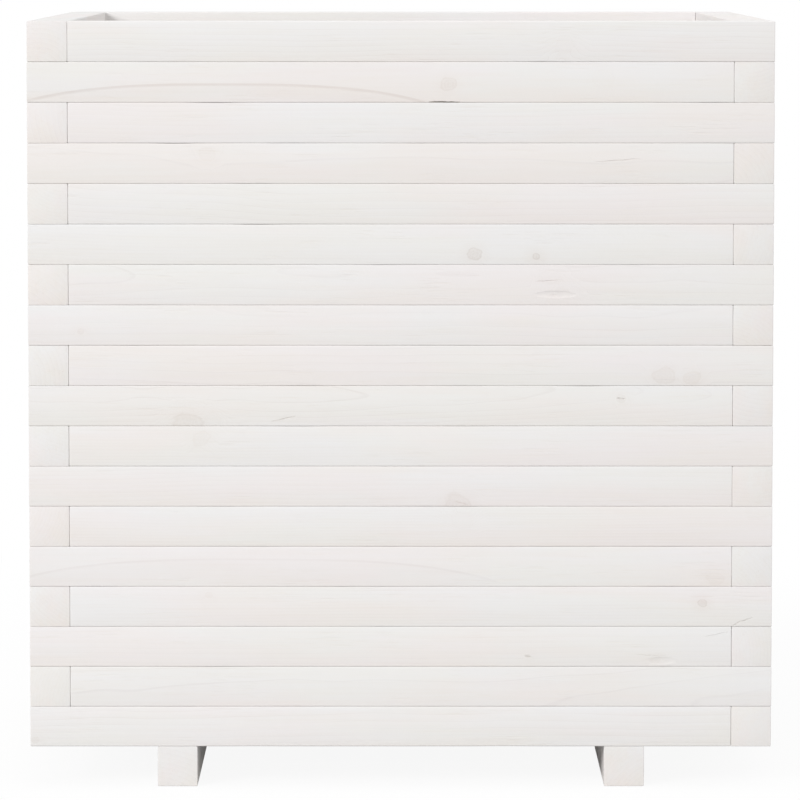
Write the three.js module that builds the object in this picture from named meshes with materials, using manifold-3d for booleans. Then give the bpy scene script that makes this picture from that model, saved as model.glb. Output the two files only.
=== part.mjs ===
// A square planter of squared pine slats, stacked like a log cabin on two runners.
//
// Four slats make one course. Each runs out over one corner and butts against its neighbour
// at the other, and the next course turns the opposite way, so that end grain and long grain
// alternate down every corner. A threaded rod through each corner clamps the courses together,
// from a flange nut under the lowest slat to an insert hidden in the rim slat.
//
// Millimetres, +Z up, the front towards -Y. The origin is on the ground, under the centre.

import * as THREE from 'three';
import { mergeVertices } from 'three/addons/utils/BufferGeometryUtils.js';
import Module from 'manifold-3d';

const wasm = await Module();
wasm.setup();

// The box
const WIDTH = 700; // outside, left to right
const DEPTH = 700; // outside, front to back
const COURSES = 18; // slats in the height of a wall
const SLAT_HEIGHT = 38;
const SLAT_THICKNESS = 38;
const MIDDLE_BLOCKS = 8; // blocks of joined slats in a wall, between its base and rim slats

// The two runners under the box
const RUNNER_HEIGHT = 38;
const RUNNER_WIDTH = 38;
const RUNNER_INSET = 120; // from the side of the box to the runner

// The floor boards, laid from side to side over the runners
const FLOOR_BOARDS = 6;
const FLOOR_THICKNESS = 18;
const FLOOR_GAP = 7; // drainage gap between boards, and along the front and back walls
const FLOOR_END_GAP = 3; // from a board's end to the side wall

// Eased edges of all the timber
const EDGE_ROUND = 1.2; // radius along the grain
const ROUND_STEPS = 2; // facets in a rounded edge
const END_EASE = 0.8; // chamfer round the sawn ends

// Corner rods and what holds them
const ROD_DIAMETER = 8;
const ROD_TIP = 1; // chamfer at the rod's ends
const ROD_TAIL = 2; // rod that stands out below the nut
const THREAD_CLEARANCE = 0.3; // round the rod in its nut and insert
const HOLE_CLEARANCE = 0.6; // round the rod in the slats
const INSERT_LENGTH = 20;
const INSERT_WALL = 2;
const INSERT_CLEARANCE = 0.3; // round and above the insert in its pocket
const NUT_HEIGHT = 8; // with its flange
const NUT_WALL = 2.2; // from the thread to the flats
const FLANGE_THICKNESS = 2;
const FLANGE_LIP = 2.5; // flange beyond the flats
const NUT_RECESS = 2; // from the rod's tip up to the underside of the slat's face
const SOCKET_CLEARANCE = 2; // round the flange, for a socket wrench
const ROUND_SIDES = 12; // facets of a rod, a bore, an insert or a flange

// What follows from them
const BOX_BASE = RUNNER_HEIGHT;
const RIM_BASE = BOX_BASE + (COURSES - 1) * SLAT_HEIGHT;
const INNER_WIDTH = WIDTH - 2 * SLAT_THICKNESS;
const INNER_DEPTH = DEPTH - 2 * SLAT_THICKNESS;
const ROD_RADIUS = ROD_DIAMETER / 2;
const THREAD_BORE = ROD_RADIUS + THREAD_CLEARANCE;
const INSERT_RADIUS = THREAD_BORE + INSERT_WALL;
const NUT_FLAT = THREAD_BORE + NUT_WALL;
const FLANGE_RADIUS = NUT_FLAT + FLANGE_LIP;
const NUT_SEAT = BOX_BASE + NUT_RECESS + ROD_TAIL + NUT_HEIGHT;
const ROD_BASE = NUT_SEAT - NUT_HEIGHT - ROD_TAIL;
const ROD_TOP = RIM_BASE + INSERT_LENGTH;

const WHITEWASHED_PINE = { color: 0xece9e7, roughness: 0.72, metalness: 0, flatShading: true };
const ZINCED_STEEL = { color: 0xb9bcc0, roughness: 0.35, metalness: 0.9, flatShading: true };

// Each wall is modelled as the front one and turned into place by quarter turns.
const WALLS = [
  { side: 'front', quarterTurns: 0, length: WIDTH, reach: DEPTH / 2 },
  { side: 'right', quarterTurns: 1, length: DEPTH, reach: WIDTH / 2 },
  { side: 'back', quarterTurns: 2, length: WIDTH, reach: DEPTH / 2 },
  { side: 'left', quarterTurns: 3, length: DEPTH, reach: WIDTH / 2 },
];

const X_AXIS = new THREE.Vector3(1, 0, 0);
const Y_AXIS = new THREE.Vector3(0, 1, 0);
const Z_AXIS = new THREE.Vector3(0, 0, 1);

function toSolid(geometry) {
  geometry.deleteAttribute('normal');
  geometry.deleteAttribute('uv');
  const welded = mergeVertices(geometry);
  return new wasm.Manifold(new wasm.Mesh({
    numProp: 3,
    vertProperties: welded.attributes.position.array,
    triVerts: new Uint32Array(welded.index.array),
  }));
}

function toGeometry(solid) {
  const { vertProperties, triVerts } = solid.getMesh();
  const geometry = new THREE.BufferGeometry();
  geometry.setAttribute('position', new THREE.BufferAttribute(vertProperties, 3));
  geometry.setIndex(new THREE.BufferAttribute(triVerts, 1));
  return geometry;
}

// A planed length of timber along X, centred on X and Y and resting on Z = 0.
function timber(length, width, height) {
  const right = width / 2 - EDGE_ROUND;
  const top = height - EDGE_ROUND;
  const quarter = Math.PI / 2;
  const section = new THREE.Shape();
  section.absarc(right, top, EDGE_ROUND, 0, quarter);
  section.absarc(-right, top, EDGE_ROUND, quarter, 2 * quarter);
  section.absarc(-right, EDGE_ROUND, EDGE_ROUND, 2 * quarter, 3 * quarter);
  section.absarc(right, EDGE_ROUND, EDGE_ROUND, 3 * quarter, 4 * quarter);
  const geometry = new THREE.ExtrudeGeometry(section, {
    depth: length - 2 * END_EASE,
    curveSegments: ROUND_STEPS / 2, // three.js cuts an arc into twice this many
    bevelThickness: END_EASE,
    bevelSize: END_EASE,
    bevelOffset: -END_EASE,
    bevelSegments: 1,
  });
  geometry.translate(0, 0, END_EASE - length / 2);
  geometry.applyMatrix4(new THREE.Matrix4().makeBasis(Y_AXIS, Z_AXIS, X_AXIS));
  return geometry;
}

// A turned shape about Z, from a profile of [radius, height] pairs.
function turned(profile) {
  const points = profile.map(([radius, height]) => new THREE.Vector2(radius, height));
  const geometry = new THREE.LatheGeometry(points, ROUND_SIDES);
  geometry.applyMatrix4(new THREE.Matrix4().makeBasis(Y_AXIS, Z_AXIS, X_AXIS));
  return geometry;
}

// What is drilled out of a corner: the nut's counterbore from below, the rod's hole up
// through the courses, and the blind pocket for the insert in the rim slat.
function cornerBore() {
  const below = BOX_BASE - NUT_RECESS;
  const wide = FLANGE_RADIUS + SOCKET_CLEARANCE;
  const narrow = ROD_RADIUS + HOLE_CLEARANCE;
  const pocket = INSERT_RADIUS + INSERT_CLEARANCE;
  const pocketTop = RIM_BASE + INSERT_LENGTH + INSERT_CLEARANCE;
  return toSolid(turned([
    [0, below], [wide, below], [wide, NUT_SEAT], [narrow, NUT_SEAT],
    [narrow, RIM_BASE], [pocket, RIM_BASE], [pocket, pocketTop], [0, pocketTop],
  ]));
}

// The slat of one course, with the wall's outer face at Y = -reach. The rim slat runs out
// over the wall's right-hand corner, the slat below it over the left-hand one, and so on.
function slat(wall, course) {
  const overRight = (COURSES - course) % 2 === 0;
  const geometry = timber(wall.length - SLAT_THICKNESS, SLAT_THICKNESS, SLAT_HEIGHT);
  const shift = overRight ? SLAT_THICKNESS / 2 : -SLAT_THICKNESS / 2;
  const base = BOX_BASE + (course - 1) * SLAT_HEIGHT;
  geometry.translate(shift, SLAT_THICKNESS / 2 - wall.reach, base);
  return toSolid(geometry);
}

// The slats from course first to course last of one wall, drilled for its two corner rods.
function slatBlock(wall, first, last, bore) {
  let block = slat(wall, first);
  for (let course = first + 1; course <= last; course += 1) {
    block = block.add(slat(wall, course));
  }
  const cornerX = (wall.length - SLAT_THICKNESS) / 2;
  const cornerY = SLAT_THICKNESS / 2 - wall.reach;
  for (const x of [-cornerX, cornerX]) {
    block = block.subtract(bore.translate([x, cornerY, 0]));
  }
  return toGeometry(block);
}

// The runs of courses that each wall is divided into: base slat, middle blocks, rim slat.
function courseRuns() {
  const middle = COURSES - 2;
  const runs = [[1, 1]];
  for (let block = 0; block < MIDDLE_BLOCKS; block += 1) {
    const first = 2 + Math.round(block * middle / MIDDLE_BLOCKS);
    const last = 1 + Math.round((block + 1) * middle / MIDDLE_BLOCKS);
    if (last >= first) runs.push([first, last]);
  }
  runs.push([COURSES, COURSES]);
  return runs;
}

// The insert's own origin is its lower face, which rests on the course below the rim.
function insertGeometry() {
  return toGeometry(toSolid(turned([
    [THREAD_BORE, 0], [INSERT_RADIUS, 0], [INSERT_RADIUS, INSERT_LENGTH],
    [THREAD_BORE, INSERT_LENGTH], [THREAD_BORE, 0],
  ])));
}

// The rod's own origin is its lower tip.
function rodGeometry() {
  const length = ROD_TOP - ROD_BASE;
  const tip = ROD_RADIUS - ROD_TIP;
  return toGeometry(toSolid(turned([
    [0, 0], [tip, 0], [ROD_RADIUS, ROD_TIP],
    [ROD_RADIUS, length - ROD_TIP], [tip, length], [0, length],
  ])));
}

// A hexagon nut with its flange on top, which bears against the counterbore's ceiling.
// Its own origin is that bearing face.
function flangeNutGeometry() {
  const hexagonRadius = NUT_FLAT / Math.cos(Math.PI / 6);
  const hexagon = new THREE.CylinderGeometry(hexagonRadius, hexagonRadius, NUT_HEIGHT, 6);
  hexagon.applyMatrix4(new THREE.Matrix4().makeBasis(Y_AXIS, Z_AXIS, X_AXIS));
  hexagon.translate(0, 0, -NUT_HEIGHT / 2);
  const flange = turned([
    [0, -FLANGE_THICKNESS - FLANGE_LIP / 2], [NUT_FLAT, -FLANGE_THICKNESS - FLANGE_LIP / 2],
    [FLANGE_RADIUS, -FLANGE_THICKNESS], [FLANGE_RADIUS, 0], [0, 0],
  ]);
  const thread = turned([
    [0, -2 * NUT_HEIGHT], [THREAD_BORE, -2 * NUT_HEIGHT],
    [THREAD_BORE, NUT_HEIGHT], [0, NUT_HEIGHT],
  ]);
  return toGeometry(toSolid(hexagon).add(toSolid(flange)).subtract(toSolid(thread)));
}

function addMesh(parent, name, geometry, finish) {
  const mesh = new THREE.Mesh(geometry, new THREE.MeshStandardMaterial(finish));
  mesh.name = name;
  parent.add(mesh);
  return mesh;
}

function addWalls(planter) {
  const bore = cornerBore();
  for (const wall of WALLS) {
    const turnedWall = new THREE.Group();
    turnedWall.rotation.z = wall.quarterTurns * Math.PI / 2;
    planter.add(turnedWall);
    for (const [first, last] of courseRuns()) {
      const numbers = first === last ? [first] : [first, last];
      const label = numbers.map((number) => String(number).padStart(2, '0')).join('_');
      const name = `${wall.side}_slat${first === last ? '' : 's'}_${label}`;
      addMesh(turnedWall, name, slatBlock(wall, first, last, bore), WHITEWASHED_PINE);
    }
  }
}

function addRunners(planter) {
  const centre = WIDTH / 2 - RUNNER_INSET - RUNNER_WIDTH / 2;
  for (const [side, x] of [['left', -centre], ['right', centre]]) {
    const geometry = timber(DEPTH, RUNNER_WIDTH, RUNNER_HEIGHT);
    const runner = addMesh(planter, `${side}_runner`, geometry, WHITEWASHED_PINE);
    runner.rotation.z = Math.PI / 2;
    runner.position.x = x;
  }
}

function addFloor(planter) {
  const boardWidth = (INNER_DEPTH - (FLOOR_BOARDS + 1) * FLOOR_GAP) / FLOOR_BOARDS;
  const boardLength = INNER_WIDTH - 2 * FLOOR_END_GAP;
  for (let number = 1; number <= FLOOR_BOARDS; number += 1) {
    const geometry = timber(boardLength, boardWidth, FLOOR_THICKNESS);
    const board = addMesh(planter, `floor_board_${number}`, geometry, WHITEWASHED_PINE);
    const stepsFromMiddle = number - (FLOOR_BOARDS + 1) / 2;
    board.position.set(0, stepsFromMiddle * (boardWidth + FLOOR_GAP), RUNNER_HEIGHT);
  }
}

function addCornerRods(planter) {
  const cornerX = (WIDTH - SLAT_THICKNESS) / 2;
  const cornerY = (DEPTH - SLAT_THICKNESS) / 2;
  const corners = [
    ['front_left', -cornerX, -cornerY], ['front_right', cornerX, -cornerY],
    ['back_right', cornerX, cornerY], ['back_left', -cornerX, cornerY],
  ];
  for (const [corner, x, y] of corners) {
    const rod = addMesh(planter, `${corner}_rod`, rodGeometry(), ZINCED_STEEL);
    rod.position.set(x, y, ROD_BASE);
    const insert = addMesh(planter, `${corner}_rod_insert`, insertGeometry(), ZINCED_STEEL);
    insert.position.set(x, y, RIM_BASE);
    const nut = addMesh(planter, `${corner}_rod_nut`, flangeNutGeometry(), ZINCED_STEEL);
    nut.position.set(x, y, NUT_SEAT);
  }
}

const planter = new THREE.Group();
planter.name = 'planter';
addWalls(planter);
addRunners(planter);
addFloor(planter);
addCornerRods(planter);

export default planter;
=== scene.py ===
"""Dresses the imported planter: whitewashed pine slats, runners, floor boards and steel fixings.

Every size is in metres. A timber is modelled along X about its own centre and keeps that
place in an attribute, so that its grain runs with it wherever it is laid.
"""

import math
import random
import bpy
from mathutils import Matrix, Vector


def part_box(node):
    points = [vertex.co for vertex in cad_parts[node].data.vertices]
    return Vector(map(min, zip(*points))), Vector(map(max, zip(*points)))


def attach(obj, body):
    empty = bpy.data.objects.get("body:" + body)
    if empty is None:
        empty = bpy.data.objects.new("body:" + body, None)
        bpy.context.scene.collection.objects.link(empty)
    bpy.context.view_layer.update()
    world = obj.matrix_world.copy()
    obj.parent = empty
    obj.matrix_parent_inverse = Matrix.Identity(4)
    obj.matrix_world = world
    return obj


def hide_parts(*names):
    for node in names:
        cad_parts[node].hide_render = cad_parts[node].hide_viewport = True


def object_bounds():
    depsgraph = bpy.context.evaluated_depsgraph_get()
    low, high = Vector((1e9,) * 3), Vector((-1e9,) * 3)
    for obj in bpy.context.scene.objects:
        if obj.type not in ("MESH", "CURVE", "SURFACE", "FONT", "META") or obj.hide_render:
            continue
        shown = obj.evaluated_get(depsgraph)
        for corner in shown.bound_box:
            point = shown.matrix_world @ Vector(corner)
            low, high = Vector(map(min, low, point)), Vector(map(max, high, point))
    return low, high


bl_info = {
    "name": "Stacked Slat Planter",
    "version": (1, 0, 0),
    "blender": (4, 5, 0),
    "location": "3D View > Sidebar > Planter",
    "description": "Builds the looks of a square planter of stacked, whitewashed pine slats",
    "category": "Object",
}

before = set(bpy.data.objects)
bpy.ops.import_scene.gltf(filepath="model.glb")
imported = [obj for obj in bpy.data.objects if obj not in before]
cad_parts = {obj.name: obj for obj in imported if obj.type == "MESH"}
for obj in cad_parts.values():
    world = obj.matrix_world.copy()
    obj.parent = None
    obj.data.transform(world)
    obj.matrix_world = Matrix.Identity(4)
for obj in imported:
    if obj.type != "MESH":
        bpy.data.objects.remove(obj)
CAD_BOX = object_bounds()

import bmesh
import bpy
from bpy.props import FloatProperty, FloatVectorProperty, PointerProperty, StringProperty
from mathutils import Matrix, Vector, noise

MM = 0.001

# ---------------- what the frame says

# Quarter turns that bring the front wall's slats to each side
WALLS = {"front": 0, "right": 1, "back": 2, "left": 3}
QUARTER_TURN = math.pi / 2
CORNERS = ("front_left", "front_right", "back_right", "back_left")


def courses_in(node):
    """The courses that a wall node holds, by its name: front_slats_02_03 holds 2 and 3."""
    numbers = [int(word) for word in node.split("_") if word.isdigit()]
    return range(numbers[0], numbers[-1] + 1)


def wall_nodes(side):
    """The node that stands for each course of one wall."""
    names = [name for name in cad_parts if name.startswith(f"{side}_slat")]
    return {course: name for name in names for course in courses_in(name)}


COURSES = max(wall_nodes("front"))
BASE_LOW, BASE_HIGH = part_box(wall_nodes("front")[1])
SLAT_HEIGHT = BASE_HIGH.z - BASE_LOW.z
SLAT_THICKNESS = BASE_HIGH.y - BASE_LOW.y
BOX_BASE = BASE_LOW.z
BOX_WIDTH = CAD_BOX[1].x - CAD_BOX[0].x
BOX_DEPTH = CAD_BOX[1].y - CAD_BOX[0].y
FLOOR_NODES = sorted(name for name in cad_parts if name.startswith("floor_board"))
RUNNER_NODES = ("left_runner", "right_runner")

# Knots on the front wall, read off the photograph: course, millimetres along from the wall's
# middle, millimetres up from the slat's middle, radius in millimetres, darkness
FRONT_KNOTS = (
    (18, 153, -4, 8, 0.10),
    (17, 44, -1, 6, 0.36), (17, 190, 3, 9, 0.06),
    (15, -181, 9, 6.5, 0.14),
    (13, 69, -9, 6, 0.52), (13, 127, -11, 3.6, 0.60),
    (12, 141, 6, 7, 0.08), (12, 149, -12, 9, 0.10),
    (11, -301, -6, 2.5, 0.30),
    (10, 248, -10, 8, 0.30), (10, 274, -11, 6, 0.26),
    (9, 207, 7, 4.0, 0.25), (9, -200, -17, 11, 0.36), (9, -177, -12, 6, 0.12),
    (8, -188, 7, 7, 0.20),
    (7, 53, -17, 10, 0.34),
    (6, 57, 6, 8, 0.08),
    (5, 296, -11, 6, 0.18),
    (4, 284, 3, 3.5, 0.55), (4, -181, 11, 2.5, 0.22),
    (3, 240, -12, 4, 0.16), (3, 120, -9, 2.0, 0.30),
    (1, -345, -13, 3.0, 0.32),
)

# Drying cracks and torn grain on the front wall: course, millimetres along and up, then length,
# width and depth in millimetres, and tilt in degrees
FRONT_CRACKS = (
    (17, 41, -18.6, 30, 2.0, 5.0, 0),
    (15, 203, 3, 44, 0.8, 0.95, 4),
    (12, 138, 4, 24, 1.1, 1.0, 3), (12, 145, -9, 42, 7.5, 0.9, 0), (12, 144, -9.5, 7, 0.8, 1.5, 0),
    (9, -110, -12, 24, 1.0, 1.15, 13), (9, 207, 7, 8, 1.2, 1.6, 0),
    (7, 58, -16, 16, 0.9, 0.9, -20),
    (4, 322, -14, 22, 1.1, 1.15, 23),
    (3, 299, 12, 27, 0.8, 0.85, 12),
    (3, 236, -8, 34, 0.6, 0.75, -2), (3, 246, -13.5, 30, 8, 0.7, 0), (3, 120, -9, 7, 0.8, 1.3, 0),
)

# Slats of the front wall whose growth rings show as long arches. By course: millimetres along
# to the crown of the arch, its curve per square metre, and in millimetres the pith's depth
# behind the face and below the slat's middle, the width of a ring and its offset, then how
# strongly the line shows
FRONT_ARCHES = {
    17: (-167, 1.60, 60, 60, 27, -3.4, 0.62),
    5: (-140, 1.0, 60, 45, 20, 0.0, 0.40),
}


# ---------------- settings


class PLANTER_PG_timber(bpy.types.PropertyGroup):
    """Shape of the planed timber"""

    edge_radius: FloatProperty(
        name="Edge radius", description="Rounding of the edges along the grain",
        default=1.0 * MM, min=0.1 * MM, max=6 * MM, unit="LENGTH")
    end_chamfer: FloatProperty(
        name="End chamfer", description="Easing round the sawn ends",
        default=0.7 * MM, min=0.1 * MM, max=3 * MM, unit="LENGTH")
    station: FloatProperty(
        name="Station", description="Length between the cross sections that take the bow",
        default=12 * MM, min=3 * MM, max=60 * MM, unit="LENGTH")
    crown: FloatProperty(
        name="Crown", description="How far a face falls away from its middle to its edges",
        default=0.12 * MM, min=0.0, max=1 * MM, unit="LENGTH")
    bow: FloatProperty(
        name="Bow", description="Most that a face wanders back from the wall's plane",
        default=0.22 * MM, min=0.0, max=1 * MM, unit="LENGTH")
    joint_gap: FloatProperty(
        name="Joint gap", description="Most that a slat shrinks away from its neighbour",
        default=0.3 * MM, min=0.0, max=1 * MM, unit="LENGTH")
    hole_clearance: FloatProperty(
        name="Hole clearance", description="Room round the rods, nuts and inserts",
        default=0.6 * MM, min=0.0, max=2 * MM, unit="LENGTH")


class PLANTER_PG_finish(bpy.types.PropertyGroup):
    """Colours of the wood, the wash and the steel"""

    wash: FloatVectorProperty(
        name="Whitewash", description="Colour of the wash where it covers",
        default=(0.853, 0.839, 0.842), subtype="COLOR", min=0, max=1)
    early_wood: FloatVectorProperty(
        name="Early wood", description="Pale wood between the ring lines",
        default=(0.72, 0.56, 0.38), subtype="COLOR", min=0, max=1)
    late_wood: FloatVectorProperty(
        name="Late wood", description="Dark line at the end of each year's ring",
        default=(0.42, 0.25, 0.13), subtype="COLOR", min=0, max=1)
    resin: FloatVectorProperty(
        name="Resin", description="Stain that a knot leaves in the wood round it",
        default=(0.60, 0.40, 0.26), subtype="COLOR", min=0, max=1)
    knot: FloatVectorProperty(
        name="Knot", description="Heart of a knot",
        default=(0.25, 0.17, 0.125), subtype="COLOR", min=0, max=1)
    cover: FloatProperty(
        name="Cover", description="How much of the wood the wash hides",
        default=0.94, min=0, max=1, subtype="FACTOR")
    floor_cover: FloatProperty(
        name="Floor cover", description="How much of the floor boards the wash hides",
        default=0.72, min=0, max=1, subtype="FACTOR")
    pillow: FloatProperty(
        name="Pillow", description="Soft swelling of the wash over a slat's face, in its bump",
        default=0.62 * MM, min=0, max=2 * MM, unit="LENGTH")
    zinc: FloatVectorProperty(
        name="Zinc", description="Colour of the zinc plating",
        default=(0.62, 0.63, 0.65), subtype="COLOR", min=0, max=1)


class PLANTER_PG_stage(bpy.types.PropertyGroup):
    """Camera, lamps and floor"""

    camera_distance: FloatProperty(
        name="Camera distance", description="From the lens to the planter's front face",
        default=5.0, min=1, max=30, unit="LENGTH")
    camera_height: FloatProperty(
        name="Camera height", description="Height of the lens above the floor",
        default=0.7944, min=0, max=5, unit="LENGTH")
    aim_height: FloatProperty(
        name="Aim height", description="Height at which the lens looks at the front face",
        default=0.3667, min=0, max=5, unit="LENGTH")
    lens: FloatProperty(
        name="Lens", description="Focal length on a 36 mm sensor, in millimetres",
        default=240.2, min=20, max=600)
    key_power: FloatProperty(
        name="Key power", description="Large soft lamp above the front's left",
        default=632, min=0, max=5000, unit="POWER")
    fill_power: FloatProperty(
        name="Fill power", description="Two weaker lamps, at the right and behind",
        default=90, min=0, max=5000, unit="POWER")
    sky_strength: FloatProperty(
        name="Sky strength", description="Even light from all round",
        default=0.71, min=0, max=5)
    floor_bounce: FloatProperty(
        name="Floor bounce", description="How much light the floor throws back at the planter",
        default=0.34, min=0, max=1, subtype="FACTOR")
    near_bounce: FloatProperty(
        name="Near bounce", description="The same for the floor close to the planter",
        default=0.49, min=0, max=1, subtype="FACTOR")
    floor_shade: FloatProperty(
        name="Floor shade", description="How much of the floor's shading shows",
        default=0.08, min=0, max=1, subtype="FACTOR")


class PLANTER_PG_settings(bpy.types.PropertyGroup):
    """All settings of the planter"""

    timber: PointerProperty(type=PLANTER_PG_timber)
    finish: PointerProperty(type=PLANTER_PG_finish)
    stage: PointerProperty(type=PLANTER_PG_stage)


# ---------------- meshes and objects


def linked(name, data):
    """A new object of the scene."""
    made = bpy.data.objects.new(name, data)
    bpy.context.scene.collection.objects.link(made)
    return made


def mesh_of(name, shape):
    """A mesh from a bmesh, which it frees."""
    mesh = bpy.data.meshes.new(name)
    shape.to_mesh(mesh)
    shape.free()
    return mesh


def stood_at(part, place):
    """The bmesh, moved to a place."""
    bmesh.ops.translate(part, verts=part.verts, vec=place)
    return part


def append_shape(target, source):
    """Adds one bmesh to another, and frees the one that was added."""
    spare = mesh_of("spare", source)
    target.from_mesh(spare)
    bpy.data.meshes.remove(spare)


def combine(piece, tool_shape, operation):
    """Cuts, joins or crosses a piece with a bmesh for good, and frees the bmesh."""
    mesh = mesh_of("tool", tool_shape)
    tool = linked("tool", mesh)
    modifier = piece.modifiers.new("combine", "BOOLEAN")
    modifier.operation = operation
    modifier.solver = "EXACT"
    modifier.object = tool
    graph = bpy.context.evaluated_depsgraph_get()
    finished = bpy.data.meshes.new_from_object(piece.evaluated_get(graph))
    piece.modifiers.clear()
    old, piece.data = piece.data, finished
    bpy.data.meshes.remove(old)
    bpy.data.objects.remove(tool)
    bpy.data.meshes.remove(mesh)


SMOOTH_ANGLE = math.radians(32)


def smooth(mesh):
    """Smooth shading, apart from real edges."""
    mesh.shade_smooth()
    mesh.set_sharp_from_angle(angle=SMOOTH_ANGLE)


# ---------------- node sheets


class NodeSheet:
    """The node tree of a material or a world, written as expressions."""

    def __init__(self, owner):
        self.owner = owner
        owner.use_nodes = True
        self.tree = owner.node_tree
        self.tree.nodes.clear()

    def feed(self, socket, value):
        if isinstance(value, bpy.types.NodeSocket):
            self.tree.links.new(value, socket)
        elif value is not None:
            socket.default_value = value

    def node(self, kind, *values, **settings):
        """A node with its settings and, in the order of its sockets, its values or links."""
        made = self.tree.nodes.new(kind)
        for key, value in settings.items():
            setattr(made, key, value)
        for socket, value in zip(made.inputs, values):
            self.feed(socket, value)
        return made

    def math(self, operation, *values, clamp=False):
        return self.node("ShaderNodeMath", *values, operation=operation, use_clamp=clamp).outputs[0]

    def chain(self, operation, *terms):
        """The same operation from term to term."""
        result = terms[0]
        for term in terms[1:]:
            result = self.math(operation, result, term)
        return result

    def plus(self, *terms):
        return self.chain("ADD", *terms)

    def less(self, first, second):
        return self.math("SUBTRACT", first, second)

    def times(self, *terms):
        return self.chain("MULTIPLY", *terms)

    def most(self, *terms):
        return self.chain("MAXIMUM", *terms)

    def length(self, vector):
        return self.node("ShaderNodeVectorMath", vector, operation="LENGTH").outputs["Value"]

    def moved(self, place, way):
        return self.node("ShaderNodeVectorMath", place, way, operation="ADD").outputs["Vector"]

    def split(self, vector):
        return self.node("ShaderNodeSeparateXYZ", vector).outputs

    def combine(self, x, y, z):
        return self.node("ShaderNodeCombineXYZ", x, y, z).outputs[0]

    def attribute(self, name):
        return self.node("ShaderNodeAttribute", attribute_name=name).outputs

    def stored(self, name):
        """The three numbers of one of the timber's attributes."""
        return self.split(self.attribute(name)["Vector"])

    def own_place(self):
        """The place of a piece that keeps no place of its own."""
        return self.node("ShaderNodeTexCoord").outputs["Object"]

    def noise(self, place, stretch, detail=2.0, roughness=0.5):
        """Noise from 0 to 1, whose stretch is the features per metre along, across and up."""
        stretched = self.node("ShaderNodeVectorMath", place, stretch, operation="MULTIPLY")
        made = self.node("ShaderNodeTexNoise", stretched.outputs["Vector"], None, 1.0, detail,
                         roughness, noise_dimensions="3D")
        return made.outputs["Fac"]

    def remap(self, value, low, high, to_low=0.0, to_high=1.0, smooth=True):
        kind = "SMOOTHSTEP" if smooth else "LINEAR"
        return self.node("ShaderNodeMapRange", value, low, high, to_low, to_high,
                         interpolation_type=kind).outputs[0]

    def mix(self, share, first, second, blend="MIX"):
        made = self.node("ShaderNodeMix", data_type="RGBA", blend_type=blend)
        self.feed(made.inputs["Factor"], share)
        self.feed(made.inputs[6], as_colour(first))
        self.feed(made.inputs[7], as_colour(second))
        return made.outputs[2]

    def mix_shader(self, share, first, second):
        return self.node("ShaderNodeMixShader", share, first.outputs[0], second.outputs[0])

    def seen(self):
        """1 for a ray that comes from the camera, or through gloss or glass, and 0 for light."""
        path = self.node("ShaderNodeLightPath").outputs
        return self.most(path["Is Camera Ray"], path["Is Glossy Ray"], path["Is Transmission Ray"])

    def surface(self, colour, roughness, height, metallic=0.0, specular=0.5):
        """Ends the sheet with one shader, whose relief is a height in metres."""
        shader = self.node("ShaderNodeBsdfPrincipled")
        self.feed(shader.inputs["Base Color"], as_colour(colour))
        self.feed(shader.inputs["Roughness"], roughness)
        shader.inputs["Metallic"].default_value = metallic
        shader.inputs["Specular IOR Level"].default_value = specular
        bump = self.node("ShaderNodeBump")
        bump.inputs["Strength"].default_value = 1.0
        bump.inputs["Distance"].default_value = 1.0
        self.feed(bump.inputs["Height"], height)
        self.feed(shader.inputs["Normal"], bump.outputs[0])
        return self.finish(shader)

    def finish(self, shader, kind="ShaderNodeOutputMaterial"):
        """Links the last shader to the output, and gives back the material or world."""
        self.node(kind, shader.outputs[0])
        return self.owner


def as_colour(value):
    """A colour property as the four numbers that a socket takes, or the socket it is."""
    return value if isinstance(value, bpy.types.NodeSocket) else (*value[:3], 1.0)


def once(name, make, *given):
    """The material of that name, drawn up on a new sheet the first time it is asked for."""
    return bpy.data.materials.get(name) or make(NodeSheet(bpy.data.materials.new(name)), *given)


# ---------------- wood

ARCH_POWER = 3  # how a ring falls away on both sides of the crown of its arch
KNOTS_PER_TIMBER = 3
KNOT_STRETCH = 1.25  # a knot's length along the grain, to its height
KNOT_YEARS = 17.0  # how closely the rings lie in a knot
YEAR_CONTRAST = 0.13
HALO_REACH = 9 * MM  # how far resin stains the wood round a knot
RING_SWAY = (5, 14, 14)  # waves per metre of the rings' own wandering
PLUNGE = (10.5 * MM, 13.5 * MM)  # how far an arch falls before its lines leave the face

# Where late wood rises and falls in a ring, as shares of the ring's width, and the groove
# beside it. The slow rise and the thin line have these shares of the whole
SLOW_BAND = ((0.05, 0.90), (1.0, 0.975))
THIN_BAND = ((0.90, 0.955), (1.0, 0.975))
GROOVE_BAND = ((0.86, 0.92), (0.98, 0.93))
SLOW_SHARE, THIN_SHARE = 0.25, 0.75

# How much of the wash each mark takes away
THIN_AT_LINE, THIN_AT_FLECK = 0.17, 0.05
THIN_AT_HALO, THIN_AT_HEART, THIN_AT_RIM = 0.08, 0.25, 0.15
PAINTED_SHADE_DOWN_TIMBER = 0.026  # painted shade and light: less wash is taken at a timber's upper edge, so it is paler, and more at its lower edge, so it is darker
THIN_AT_ENDS = 0.028
END_LINES = 0.3  # how much of the ring lines shows in end grain

# Relief in the wash, the bare wood and the zinc
FIBRE_RELIEF, GROOVE_RELIEF, RIM_RELIEF = 0.05 * MM, 0.08 * MM, 0.08 * MM
FLECK_RELIEF, BARE_RELIEF, ZINC_RELIEF = 0.07 * MM, 0.1 * MM, 0.01 * MM
LEVEL_PILLOW = 0.1  # how much of the slats' pillow the runners and floor boards have
PINE_SPECULAR, DULL_ZINC = 0.3, 0.8

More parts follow.
